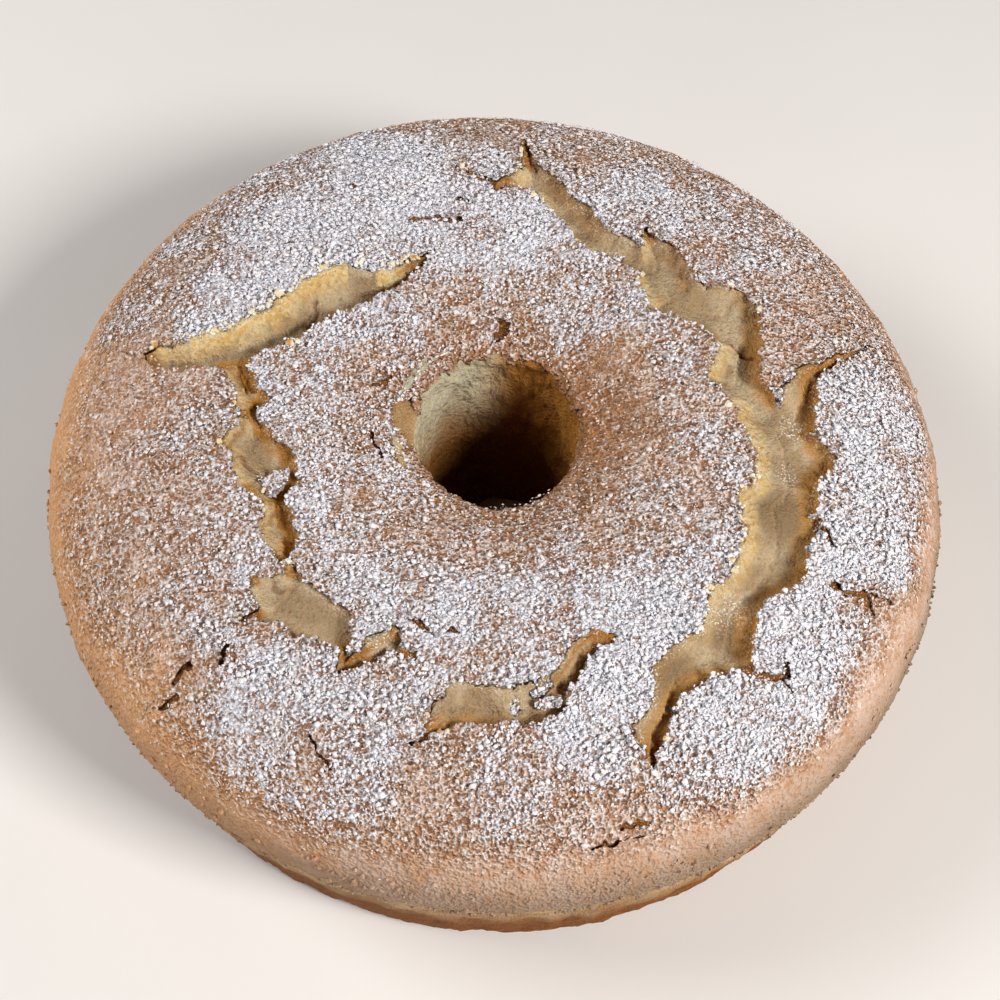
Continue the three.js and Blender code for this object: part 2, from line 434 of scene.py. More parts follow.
def hole_by(x, y):
    """How far places lie inside the ragged inner edge of the crust, round the hole."""
    here = level(x, y)
    away_x = (x - HOLE_SHIFT_X) / (1 - HOLE_STRETCH)
    away_y = y / (1 + HOLE_STRETCH)
    angle = np.arctan2(away_y, away_x)
    torn_back = 0.8 * np.exp(-(((angle - math.radians(130)) / 0.5) ** 2))
    torn_back += 1.0 * np.exp(-(((angle + math.radians(163)) / 0.3) ** 2))
    edge = HOLE_RADIUS - 0.2 + torn_back + 0.7 * noise(here, 3, 21) + 0.6 * noise(here, 1.2, 22)
    return edge - np.hypot(away_x, away_y)


def crust_gap(x, y):
    """How far places lie inside any opening of the crust: a split or the hole."""
    return np.maximum(open_by(x, y), hole_by(x, y))


def gap_slope(gap_at, x, y):
    """The direction in which a gap function grows fastest, and how fast it grows."""
    step = 0.15
    across = (gap_at(x + step, y) - gap_at(x - step, y)) / (2 * step)
    away = (gap_at(x, y + step) - gap_at(x, y - step)) / (2 * step)
    length = np.maximum(np.hypot(across, away), 0.3)
    return across / length, away / length, length


def facing(across, away):
    """How squarely a lip faces forward and to the right, where the key light stands."""
    return across * 0.75 - away * 0.66


def curl(x, y, gap):
    """How far the crust lifts beside a torn lip, and sinks where a piece of it came loose."""
    lift = ramp(gap, -4, 0.2) ** 2 * (0.5 + 0.8 * noise(level(x, y), 5, 71))
    for drop, outline in ISLANDS:
        lift = lift - drop * ramp(inside_by(x, y, outline), -0.9, 0.3)
    return lift


def dimples(points):
    """The depth of the baked crust's dimpled relief, in millimetres."""
    at_rim = ramp(np.hypot(points[:, 0], points[:, 1]), 104, 120)
    coarse = 0.85 + 0.2 * dusting(points[:, 0], points[:, 1]) - 0.6 * at_rim
    dents = coarse * (pebbles(points, 1.6, 72) - 0.5)
    return dents + 0.5 * noise(points, 7, 73) + 0.3 * coarse * noise(points, 0.9, 75)


def lip_distance(x, y):
    """How far places lie inside the plain outline of any split."""
    gap = np.full(len(x), -float(REACH))
    for split in SPLITS.values():
        gap = np.maximum(gap, inside_by(x, y, split["lips"]))
    return gap


def trait(x, y, name):
    """A number of the nearest split."""
    value = np.zeros(len(x))
    for split in SPLITS.values():
        value = np.where(inside_by(x, y, split["lips"]) > -3, split[name], value)
    return value


def cream_at(x, y):
    """How cream-coloured the torn crumb is along the lips of the nearest split; the cream is partly
    painted light.
    """
    return trait(x, y, "cream") * ramp(y, -80, -40) * ramp(x, 77, 71)


def split_depth(x, y):
    """How far the crumb lies below the crust: deepest beside the lips that it drew back from."""
    here = level(x, y)
    deepest = np.zeros(len(x))
    wander_x = x + 1.0 * noise(here, 4, 31)
    wander_y = y + 1.0 * noise(here, 4, 32)
    for split in SPLITS.values():
        lean_x, lean_y = split["lean"]
        plain = inside_by(wander_x, wander_y, split["lips"])
        leaning = inside_by(wander_x - lean_x, wander_y - lean_y, split["lips"])
        gap = leaning + 0.3 * noise(here, 1.2, 33)
        bank = 0.45 * ramp(gap, -0.3, 1.8) + 0.55 * ramp(gap, 0, SPLIT_BANK)
        trench = ramp(leaning - plain, 0.4, 1.3) * ramp(gap, -0.3, 0.8) * ramp(plain, 3.4, 0.4)
        deepest = np.maximum(deepest, bank * split["depth"] + TRENCH_DEPTH * trench)
    share = np.clip(deepest / 4, 0, 1)
    for *lump, height in LUMPS:
        deepest = deepest - share * height * np.exp(-apart(x, y, *lump))
    pillows = pebbles(here, 7, 34)
    deepest = deepest - share * (1.2 * pillows - 0.6)
    for drop, outline in ISLANDS:
        under = ramp(inside_by(x, y, outline), -1.2, 0)
        deepest = deepest + under * (np.minimum(deepest, drop) - deepest)
    deepest = deepest - CRACK_RISE * ramp(crack_by(x, y), -1.1, 0.3) * (1 - share)
    flaked = ramp(inside_by(x, y, FLAKE), -1.5, 0)
    return deepest - flaked * (CRUST_THICKNESS - FLAKE_DEPTH)


def cleft_by(x, y):
    """How strongly places belong to a cleft in the crumb, from 0 to 1."""
    wander_x = x + 0.6 * noise(level(x, y), 2, 35)
    share = np.zeros(len(x))
    for route in CLEFTS:
        share = np.maximum(share, ramp(beside(wander_x, y, route), CLEFT_REACH, 0.1))
    return share


def dusting(x, y):
    """How thickly the sugar lies."""
    total = np.zeros(len(x))
    weights = np.full(len(x), 1e-9)
    for place_x, place_y, share in DUSTING:
        weight = np.exp(-apart(x, y, place_x, place_y, DUSTING_REACH))
        total += weight * share
        weights += weight
    edge = ramp(np.hypot(x, y), 124, 113)
    rim = ramp(np.hypot(x - HOLE_SHIFT_X, y), HOLE_RADIUS - 3, HOLE_RADIUS + 5)
    patchy = total / weights * (1 + 0.32 * rough(level(x, y), 9, 41, 2))
    return np.clip(patchy, 0, 1) * edge * rim


# ---------------------------------------------------------------- making meshes


def places_of(bm):
    """The points of a bmesh, in millimetres."""
    return np.array([vert.co[:] for vert in bm.verts]) / MM


def move_all(bm, points):
    """Puts the points of a bmesh where an array says, in millimetres."""
    for vert, point in zip(bm.verts, (points * MM).tolist()):
        vert.co = point


def lathe(section, around, closed):
    """Spins a section of radius and height, in millimetres, into a round shell."""
    bm = bmesh.new()
    verts = [bm.verts.new((radius * MM, 0, height * MM)) for radius, height in section]
    edges = [bm.edges.new(pair) for pair in zip(verts, verts[1:])]
    if closed:
        edges.append(bm.edges.new((verts[-1], verts[0])))
    sector = math.tau / SECTORS
    bmesh.ops.spin(
        bm, geom=verts + edges, cent=(0, 0, 0), axis=(0, 0, 1), dvec=(0, 0, 0),
        angle=sector, steps=around // SECTORS, use_merge=False, use_duplicate=False,
    )
    while sector < 0.99 * math.tau:
        copied = bmesh.ops.duplicate(bm, geom=bm.verts[:] + bm.edges[:] + bm.faces[:])
        moved = [item for item in copied["geom"] if isinstance(item, bmesh.types.BMVert)]
        bmesh.ops.rotate(bm, verts=moved, cent=(0, 0, 0), matrix=Matrix.Rotation(sector, 3, "Z"))
        sector *= 2
    bmesh.ops.remove_doubles(bm, verts=bm.verts[:], dist=0.001 * MM)
    bmesh.ops.recalc_face_normals(bm, faces=bm.faces[:])
    return bm


def halve_around(bm, inner):
    """Halves the edges that run round the axis, beyond an inner radius in millimetres."""
    edges = []
    for edge in bm.edges:
        first, second = (math.hypot(vert.co.x, vert.co.y) / MM for vert in edge.verts)
        if abs(first - second) < 0.001 and first > inner:
            edges.append(edge)
    bmesh.ops.subdivide_edges(bm, edges=edges, cuts=1, use_grid_fill=True)


def middles_of(bm):
    """The middles of a bmesh's faces, in millimetres."""
    return np.array([face.calc_center_median()[:] for face in bm.faces]) / MM


def refine(bm, chosen):
    """Halves the edges of the faces whose middles are chosen."""
    picked = chosen(*middles_of(bm).T)
    faces = [face for face, pick in zip(bm.faces, picked) if pick]
    edges = dict.fromkeys(edge for face in faces for edge in face.edges)
    bmesh.ops.subdivide_edges(bm, edges=list(edges), cuts=1, use_grid_fill=True)


def eased(bm, heights, chosen, rounds):
    """Heights that settle toward their neighbours' a number of times, where chosen."""
    pairs = np.array([[vert.index for vert in edge.verts] for edge in bm.edges])
    first, second = pairs.T
    around = np.bincount(pairs.ravel(), minlength=len(heights))
    for _ in range(rounds):
        total = np.bincount(first, heights[second], len(heights))
        total += np.bincount(second, heights[first], len(heights))
        heights = np.where(chosen, (heights + total / around) / 2, heights)
    return heights


def finished(bm, name, material):
    """Turns a bmesh into a smooth-shaded piece that rides with the cake."""
    mesh = bpy.data.meshes.new(name)
    bm.to_mesh(mesh)
    bm.free()
    mesh.shade_smooth()
    mesh.materials.append(material)
    piece = bpy.data.objects.new(name, mesh)
    bpy.context.scene.collection.objects.link(piece)
    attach(piece, "root")
    return piece


def point_array(mesh):
    """A mesh's points in millimetres."""
    numbers = np.empty(len(mesh.vertices) * 3, np.float32)
    mesh.vertices.foreach_get("co", numbers)
    return numbers.reshape(-1, 3).astype(float) / MM


def set_points(mesh, points):
    """Moves a mesh's points to places in millimetres."""
    mesh.vertices.foreach_set("co", (points * MM).astype(np.float32).ravel())
    mesh.update()


def outward(mesh):
    """The direction in which each point of a mesh faces."""
    normals = np.empty(len(mesh.vertices) * 3, np.float32)
    mesh.vertex_normals.foreach_get("vector", normals)
    return normals.reshape(-1, 3).astype(float)


def tag(mesh, name, values):
    """Stores a number with each point, for a material to read."""
    attribute = mesh.attributes.new(name, "FLOAT", "POINT")
    attribute.data.foreach_set("value", np.asarray(values, np.float32))


# ---------------------------------------------------------------- materials


class Wire:
    """A shader value that Python's operators work on."""

    def __init__(self, maker, socket):
        self.maker = maker
        self.socket = socket

    def _math(self, operation, first, second):
        return self.maker.node("ShaderNodeMath", {"operation": operation}, {0: first, 1: second})

    def __add__(self, other):
        return self._math("ADD", self, other)

    def __sub__(self, other):
        return self._math("SUBTRACT", self, other)

    def __rsub__(self, other):
        return self._math("SUBTRACT", other, self)

    def __mul__(self, other):
        return self._math("MULTIPLY", self, other)

    __radd__ = __add__
    __rmul__ = __mul__

    def between(self, low, high, to_low=0.0, to_high=1.0):
        """Smoothly from one value to another as this goes from low to high."""
        settings = {"interpolation_type": "SMOOTHSTEP", "clamp": True}
        inputs = {
            "Value": self, "From Min": low, "From Max": high, "To Min": to_low, "To Max": to_high,
        }
        return self.maker.node("ShaderNodeMapRange", settings, inputs)


class Maker:
    """Builds the nodes of one material, or of the world."""

    def __init__(self, owner, shader="Principled BSDF", place="Object"):
        owner.use_nodes = True
        self.owner = owner
        self.tree = owner.node_tree
        self.shader = self.tree.nodes[shader]
        self.place = self.node("ShaderNodeTexCoord", {}, {}, place)

    def node(self, kind, settings, inputs, output=0):
        """Adds a node with its settings, then its inputs, and gives one of its outputs."""
        made = self.tree.nodes.new(kind)
        for name, value in settings.items():
            setattr(made, name, value)
        for name, value in inputs.items():
            self.set(made.inputs[name], value)
        return Wire(self, made.outputs[output])

    def set(self, socket, value):
        """Links a wire to a socket, or sets the socket's own value."""
        if isinstance(value, Wire):
            self.tree.links.new(value.socket, socket)
        elif hasattr(socket.default_value, "__len__") and len(value) == 3 < len(socket.default_value):
            socket.default_value = (*value, 1)
        else:
            socket.default_value = value

    def finish(self, **values):
        """Sets the shader's sockets, whose names are written with underscores."""
        for name, value in values.items():
            self.set(self.shader.inputs[name.replace("_", " ")], value)
        return self.owner

    def grain(self, size, detail, roughness=0.5):
        """Soft noise from 0 to 1 with features of a size in millimetres."""
        inputs = {
            "Vector": self.place, "Scale": 1 / (size * MM), "Detail": detail, "Roughness": roughness,
        }
        return self.node("ShaderNodeTexNoise", {}, inputs)

    def cells(self, size):
        """Distance to scattered middles that lie a size apart, in millimetres."""
        inputs = {"Vector": self.place, "Scale": 1 / (size * MM)}
        return self.node("ShaderNodeTexVoronoi", {"feature": "F1"}, inputs, "Distance")

    def stored(self, name):
        """A number that the piece keeps with each point."""
        return self.node("ShaderNodeAttribute", {"attribute_name": name}, {}, "Fac")

    def blend(self, share, low, high):
        """A colour between two, by a share from 0 to 1."""
        return self.node("ShaderNodeMix", {"data_type": "RGBA"}, {0: share, 6: low, 7: high}, 2)

    def bumps(self, height, distance):
        """Surface relief from a height of 0 to 1, over a distance in millimetres."""
        inputs = {"Height": height, "Distance": distance * MM, "Strength": 1}
        return self.node("ShaderNodeBump", {}, inputs, "Normal")


def rgb(red, green, blue):
    """A colour from its screen values of 0 to 255."""
    def linear(value):
        share = value / 255
        return share / 12.92 if share <= 0.04045 else ((share + 0.055) / 1.055) ** 2.4
    return tuple(linear(value) for value in (red, green, blue))


def crust_material():
    """Pale golden-brown baked crust, finely knobbly, with sugar caught on its high spots."""
    make = Maker(bpy.data.materials.new("baked_crust"))
    lumps = make.grain(1.1, 0)
    nubs = make.grain(0.6, 0)
    cluster = make.grain(3.4, 2, 0.6)
    patch = make.grain(11, 3, 0.6)
    dust = make.stored("dusting")
    brown = make.stored("brown")
    field = lumps + nubs * 0.9 + cluster * 0.8
    above = field - (1.72 - dust * 0.60)
    white = above.between(-0.12, 0.16) * dust.between(0.0, 0.08)
    film = above.between(-0.30, -0.02) * dust.between(0.0, 0.3)
    # Painted shade: the hollows between the grains of sugar are darkened.
    gaps = field.between(1.38, 1.10) * dust.between(-0.2, 0.4)

    tan = make.blend(patch.between(0.4, 0.6), rgb(207, 177, 158), rgb(195, 160, 134))
    tan = make.blend(cluster.between(0.5, 0.36) * 0.5, tan, rgb(200, 146, 100))
    tan = make.blend(brown, tan, rgb(188, 130, 80))
    # Painted light, with a warmer tone, along the left and far rim.
    tan = make.blend(make.stored("ruddy"), tan, rgb(214, 160, 110))
    # Painted shade, with a greyer tone, toward the seam, most on the right.
    tan = make.blend(make.stored("pale"), tan, rgb(130, 111, 90))
    # The painted shade of the hollows between the grains.
    tan = make.blend(gaps * 0.75, tan, rgb(142, 92, 58))
    tan = make.blend(film * 0.4, tan, rgb(218, 196, 178))
    tan = make.blend(dust.between(0.4, 1.0) * 0.5, tan, rgb(202, 194, 200))
    sugar_white = make.blend(dust.between(0.1, 0.6), rgb(228, 212, 202), rgb(239, 238, 245))
    relief = lumps * 1.5 + nubs * 0.85 + make.grain(2.2, 0) * 0.7
    strength = (dust * 1.5 + brown).between(0.0, 0.8, 0.25, 1.0)
    return make.finish(
        Base_Color=make.blend(white, tan, sugar_white),
        Roughness=0.85,
        Specular_IOR_Level=0.2,
        Normal=make.bumps(relief * strength, 2.0),
    )


def crumb_material():
    """Pale, moist crumb: cream where it tore open, golden brown where it met the crust or the pan.
    The cream is partly painted light, on the lips that face the key light; the golden brown and
    the darker browns are partly painted shade, under shading lips and down the hole.
    """
    make = Maker(bpy.data.materials.new("soft_crumb"))
    cloud = make.grain(5, 2, 0.5)
    broad = make.grain(9, 1, 0.5)
    fine = make.grain(0.9, 1, 0.5)
    sponge = make.grain(0.55, 0)
    lumps = make.grain(1.3, 0)
    pores = make.cells(2.6)
    torn = make.stored("torn")
    pale = make.blend(broad.between(0.4, 0.6), rgb(186, 165, 134), rgb(160, 136, 104))
    pale = make.blend(fine.between(0.5, 0.36) * 0.3, pale, rgb(136, 106, 68))
    # Some swellings are painted darker.
    pale = make.blend(make.stored("dull") * 0.95, pale, rgb(136, 112, 80))
    # Golden brown: the crumb's own near the crust, with painted shade under the lips that shade it.
    pale = make.blend(make.stored("golden"), pale, rgb(182, 128, 56))
    gold = (lumps * 0.45 + cloud * 0.55).between(0.56, 0.42)
    cream = make.blend(gold, rgb(219, 195, 147), rgb(211, 174, 109))
    # Cream on the torn lips: torn crumb, with painted light on the lips that face the key light.
    pale = make.blend(torn, pale, cream)
    # Painted tint of light: greyish green on the far wall of the hole, on the side facing the key
    # light.
    pale = make.blend(make.stored("cool") * 0.75, pale, rgb(181, 179, 156))
    # Painted shade, over somewhat browner crumb, darkening the hole's wall downward.
    pale = make.blend(make.stored("deep"), pale, rgb(122, 78, 30))
    # Baked brown, partly painted shade: low on the side, in the clefts, and on the hole's wall away
    # from the key light.
    colour = make.blend(make.stored("baked"), pale, rgb(120, 68, 18))
    # Painted shade in the pores.
    pore_shade = pores.between(0.2, 0.1) * cloud.between(0.5, 0.58)
    colour = make.blend(pore_shade * 0.4, colour, rgb(126, 94, 54))
    specks = sponge.between(0.6, 0.7) * make.stored("dusting")
    colour = make.blend(specks, colour, rgb(230, 222, 212))
    relief = cloud * 0.4 + fine * 0.6 + sponge * 0.45 - pore_shade * 0.2 + lumps * (torn + 0.3)
    return make.finish(
        Base_Color=colour,
        Roughness=0.75,
        Specular_IOR_Level=0.2,
        Subsurface_Weight=0.6,
        Subsurface_Radius=(1.0, 0.6, 0.25),
        Subsurface_Scale=0.004,
        Normal=make.bumps(relief, 1.0),
    )


def bits_material():
    """Cream and golden broken crumbs."""
    make = Maker(bpy.data.materials.new("broken_crumbs"))
    tone = make.grain(2.6, 1, 0.5)
    fine = make.grain(0.5, 1, 0.5)
    colour = make.blend(tone.between(0.4, 0.55), rgb(238, 230, 208), rgb(226, 206, 160))
    colour = make.blend(tone.between(0.58, 0.66), colour, rgb(204, 146, 76))
    return make.finish(Base_Color=colour, Roughness=0.8, Normal=make.bumps(fine, 0.4))


def sugar_material():
    """Matt white powdered sugar."""
    make = Maker(bpy.data.materials.new("powdered_sugar"))
    fine = make.grain(0.35, 2, 0.5)
    tint = make.grain(6, 2, 0.5)
    colour = make.blend(tint.between(0.3, 0.7), rgb(242, 238, 238), rgb(236, 236, 242))
    colour = make.blend(make.stored("dusting").between(0.6, 0.1), colour, rgb(226, 209, 198))
    return make.finish(
        Base_Color=colour,
        Roughness=0.8,
        Specular_IOR_Level=0.3,
        Normal=make.bumps(fine, 0.2),
    )


# ---------------------------------------------------------------- the crumb body


def body_section():
    """The half section of the crumb, as a closed loop that runs out along the base and back in."""
    loop = [(radius, 0) for radius in np.linspace(HOLE_BASE_RADIUS, BASE_RADIUS - BASE_ROUNDING, 6)]
    for turn in np.radians([30, 60, 90]):
        loop.append((
            BASE_RADIUS - BASE_ROUNDING * (1 - math.sin(turn)),
            BASE_ROUNDING * (1 - math.cos(turn)),
        ))
    for share in np.linspace(0, 1, 17)[1:]:
        loop.append((
            BASE_RADIUS + (SEAM_RADIUS - BASE_RADIUS) * share,
            BASE_ROUNDING + (SEAM_HEIGHT - BASE_ROUNDING) * share,
        ))
    for radius in top_radii(2.6)[1:]:
        loop.append((radius, float(crust_height(np.float64(radius)))))
    loop += lip_arc(LIP_ROUNDING - 0.8)
    wall = LIP_RADIUS - (LIP_ROUNDING - 0.8)
    for share in np.linspace(0, 1, 26)[1:-1]:
        loop.append((wall + (HOLE_BASE_RADIUS - wall) * share, LIP_FOOT * (1 - share)))
    return loop


def lip_arc(rounding):
    """The rounded turn from the top down into the hole."""
    turns = np.radians([15, 30, 45, 60, 75, 90])
    return [
        (LIP_RADIUS - rounding * math.sin(turn), LIP_FOOT + rounding * math.cos(turn)) for turn in turns
    ]


def top_radii(spacing):
    """Radii of rings over the top, from the seam in to the lip, evenly spaced along the surface."""
    radii = np.concatenate([
        SEAM_RADIUS - 8 * np.linspace(0, 1, 400) ** 3,
        np.linspace(SEAM_RADIUS - 8, LIP_RADIUS, 2000)[1:],
    ])
    steps = np.hypot(np.diff(radii), np.diff(crust_height(radii)))
    along = np.concatenate([[0], np.cumsum(steps)])
    count = int(along[-1] / spacing)
    return np.interp(np.linspace(0, along[-1], count + 1), along, radii)


def crumb_shell():
    """The crumb's closed shell, with its finest mesh on the floors of the splits."""
    bm = lathe(body_section(), CRUMB_EDGES, closed=True)
    move_all(bm, pull(places_of(bm)))

    def on_show(x, y, z):
        side = (z < SEAM_HEIGHT + 3) & (z > 0.5)
        hole = (np.hypot(x, y) < HOLE_RADIUS + 9) & (z > 0.5)
        return side | hole | ((z > OPEN_ABOVE) & (open_by(x, y) > -3))

    def in_openings(x, y, z):
        return (z > OPEN_ABOVE) & ((lip_distance(x, y) > -1.5) | (crack_by(x, y) > -1.2))

    def by_clefts(x, y, z):
        away = np.min([beside(x, y, route) for route in CLEFTS], axis=0)
        return (z > OPEN_ABOVE) & (away < 1.6)

    for chosen in (on_show, in_openings, by_clefts):
        refine(bm, chosen)
    bm.verts.index_update()
    return bm


def tucked(points):
    """Draws the crumb in under the steep part of the crust, except in the cracks."""
    x, y, z = points.T
    radius = np.hypot(x, y)
    tuck = SIDE_TUCK * ramp(radius, 96, 119) * ramp(z, SEAM_HEIGHT - 1.5, SEAM_HEIGHT - 0.5)
    tuck *= ramp(crack_by(x, y), -0.3, -2)
    share = 1 - tuck / radius
    return x * share, y * share, z


class Ground:
    """What lies at each of the crumb's points: the top with its splits, the hole or the side."""

    def __init__(self, x, y, z):
        self.x, self.y = x, y
        radius = np.hypot(x, y)
        self.on_top = (z > SEAM_HEIGHT + 1) & (radius > LIP_RADIUS)
        walls = (~self.on_top) & (z > 0.2)
        self.outside = walls & (radius > CROWN_RADIUS)
        self.inside = walls & (radius < CROWN_RADIUS)
        angle = np.degrees(np.arctan2(y, x - HOLE_SHIFT_X))
        # The side of the hole that faces the key light: its wall is painted lighter, the rest darker.
        self.key_lit_side = ramp(np.abs(np.mod(angle, 360) - 150), 75, 40)
        self.gap = lip_distance(x, y)
        self.across, self.away, _ = gap_slope(lip_distance, x, y)
        self.facing = facing(self.across, self.away)
        room = self.gap
        for reach in (2, 3.6):
            further = lip_distance(x + reach * self.across, y + reach * self.away)
            room = np.maximum(room, further)
        self.narrow = ramp(room, 2.8, 1.3)


def sunk(bm, ground, top, z):
    """Heights of the crumb: its top lies under the crust, and deepest in the splits."""
    x, y, on_top = ground.x, ground.y, ground.on_top
    below = np.where(on_top, CRUST_THICKNESS * ramp(z, SEAM_HEIGHT, SEAM_HEIGHT + 6), 0)
    lip = ramp(open_by(x, y), -0.5, 0.2) * (0.3 + 1.1 * ramp(ground.facing, -0.1, 0.6))
    below = below - lip * (crack_by(x, y) < -1) * on_top
    depth = np.where(on_top, split_depth(x, y), 0)
    depth = eased(bm, depth, on_top & (ground.gap > 0.9), 16)
    depth = depth * (1 - 0.65 * ground.narrow)
    depth = depth + CLEFT_DEPTH * cleft_by(x, y) * ramp(depth, 0, 3) * on_top
    return np.where(on_top, top - below - depth, z)


def torn_and_lit_tone(ground, frayed):
    """How cream the crumb is along its lips: torn crumb, with painted light that is strongest
    along the lips that face the key light.
    """
    # Painted light on the lips that face the key light.
    lit = ramp(ground.across * 0.9 - ground.away * 0.44, 0.3, 0.8)
    reach = 3.0 + 4.0 * trait(ground.x, ground.y, "cream")
    torn = lit * ramp(frayed, reach, 1.8) * (1 - ground.narrow) * cream_at(ground.x, ground.y)
    return np.where(ground.on_top, torn, 0)


def golden_and_shaded(ground, frayed):
    """How golden the crumb is: painted shade, most under the lips that shade it and where they cast
    shadow, and its own golden brown in narrow splits and on the skin where the crust flaked off.
    """
    x, y = ground.x, ground.y
    shaded = (0.15 + 0.85 * ramp(ground.facing, 0.2, -0.5)) * ramp(frayed, 4.5, 0.5)
    # Painted shadow where a lip stands between the crumb and the key light.
    cast_shadow = ramp(lip_distance(x + 4.4, y - 2.4), 1.5, -1.5)
    golden = np.maximum(shaded, 0.6 * cast_shadow) * trait(x, y, "gold") * (1 - 0.5 * ramp(y, 22, 50))
    golden = np.maximum(np.minimum(golden, 1), ground.narrow)
    golden = np.maximum(golden, 0.35 * ramp(inside_by(x, y, FLAKE), -1, 0))
    return np.where(ground.on_top, golden, 0.3)


def crumb_relief(points, ground, torn):
    """How far each of the crumb's points stands out."""
    soft = np.where(ground.on_top, 0.2, 0.3) * rough(points, 1.6, 51, 2) + 0.3 * noise(points, 5, 54)
    soft += torn * (0.7 * pebbles(points, 2.2, 63) + 0.35 * noise(points, 0.9, 64))
    side = np.where(ground.outside, 0.5 * rough(points * (1, 1, 0.35), 5, 55, 3), 0)
    lumpy = 0.9 * rough(points, 5, 58, 3) + 1.2 * pebbles(points, 6, 59) - 0.5
    tube = np.where(ground.inside, lumpy, 0) * ramp(points[:, 2], LIP_HEIGHT - 1, LIP_HEIGHT - 4.5)
    foot = FOOT_FLARE * ramp(points[:, 2], 30, 0) * ramp(points[:, 1], 4, 17)
    off_base = ramp(points[:, 2], 0.0, 1.5)
    return (soft + side + tube) * off_base + np.where(ground.inside, foot, 0)


def tag_crumb(mesh, points, ground, torn, golden):
    """Stores the tones of the crumb, with its painted light and shade, and the sugar that fell on it.
    """
    x, y, on_top, inside, key_lit_side = ground.x, ground.y, ground.on_top, ground.inside, ground.key_lit_side
    # Some swellings are painted darker.
    dull = np.zeros(len(x))
    for lobe in DARKENED_LOBES:
        dull = np.maximum(dull, np.exp(-apart(x, y, *lobe) ** 2))
    tag(mesh, "dull", np.where(on_top, dull, 0))

    bare = ramp(inside_by(x, y, FLAKE), -1, 0) * (points[:, 2] > LIP_HEIGHT - 4)
    # Painted tint of light on the far wall of the hole, on the side facing the key light.
    tag(mesh, "cool", np.where(inside, key_lit_side * (1 - bare) * ramp(y, -12, 6), 0))
    # Cream on the side of the hole that faces the key light: torn crumb, with painted light.
    tag(mesh, "torn", np.where(inside, 0.6 * key_lit_side * (1 - bare), torn))
    # Painted shade on the hole's side away from the key light; golden skin where a flake came off.
    tag(mesh, "golden", np.where(inside, np.maximum(1 - key_lit_side, 0.35 * bare), golden))

    # Painted shade, over somewhat browner crumb, darkening the hole's wall downward. On the side that
    # faces the key light it sets in higher at the near side, where the light reaches less far down.
    height = points[:, 2] + 5 * noise(points, 8, 62)
    dark_from = 36 + 20 * ramp(y, 12, -8)
    deep = key_lit_side * ramp(height, 66, dark_from) + 0.7 * (1 - key_lit_side) * ramp(height, 62, 24)
    tag(mesh, "deep", np.where(inside, deep, 0))

    # Darker toward the foot of the side: baked crust, with painted shade near the ground. Browner in
    # cracks and narrow splits, and painted shade in the clefts and on the hole's wall away from the key
    # light.
    low = ramp(points[:, 2] + 3 * rough(points, 9, 61, 3), 41, 16)
    in_top = np.maximum(0.5 * ground.narrow, 0.9 * ramp(crack_by(x, y), -1.0, -0.2))
    in_top = np.maximum(in_top, 0.5 * cleft_by(x, y))
    baked = np.where(ground.outside, 0.15 + 0.85 * low, 0)
    tag(mesh, "baked", baked + np.where(on_top, in_top, 0) + np.where(inside, 0.5 * (1 - key_lit_side), 0))

    fallen = dusting(x, y) * ramp(ground.gap, 2.5, 0)
    for veil in VEILS:
        fallen = np.maximum(fallen, 1.2 * np.exp(-apart(x, y, *veil)))
    tag(mesh, "dusting", np.where(on_top, fallen, 0))


def crumb_body():
    """The whole soft body: base, side, floors of the splits and the wall of the hole."""
    bm = crumb_shell()
    points = places_of(bm)
    top = top_height(points[:, 0], points[:, 1])
    x, y, z = tucked(points)
    ground = Ground(x, y, z)
    move_all(bm, np.column_stack([x, y, sunk(bm, ground, top, z)]))
    bmesh.ops.recalc_face_normals(bm, faces=bm.faces[:])
    piece = finished(bm, "crumb", crumb_material())

    mesh = piece.data
    points = point_array(mesh)
    frayed = ground.gap + 1.2 * noise(points, 2.5, 60)
    torn, golden = torn_and_lit_tone(ground, frayed), golden_and_shaded(ground, frayed)
    points += outward(mesh) * crumb_relief(points, ground, torn)[:, None]
    points[:, 2] = np.maximum(points[:, 2], 0)
    set_points(mesh, points)
    tag_crumb(mesh, points, ground, torn, golden)
    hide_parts("cake")


# ---------------------------------------------------------------- the crust


def crust_section():
    """The crust's half section, from just under the seam over the top and into the hole."""
    loop = [(SEAM_RADIUS - 1.5, SEAM_HEIGHT - 3.2), (SEAM_RADIUS - 0.2, SEAM_HEIGHT - 1.4)]
    for radius in top_radii(0.66):
        loop.append((radius, float(crust_height(np.float64(radius)))))
    return loop + lip_arc(LIP_ROUNDING)


def crust_shell():
    """The whole dome of crust, unbroken and smooth."""
    bm = lathe(crust_section(), CRUST_EDGES, closed=False)
    halve_around(bm, DOUBLED_BEYOND)
    points = pull(places_of(bm))
    x, y, z = points.T
    on_dome = (z > SEAM_HEIGHT) & (np.hypot(x, y) > LIP_RADIUS + 2)
    move_all(bm, np.column_stack([x, y, np.where(on_dome, top_height(x, y), z)]))
    return bm


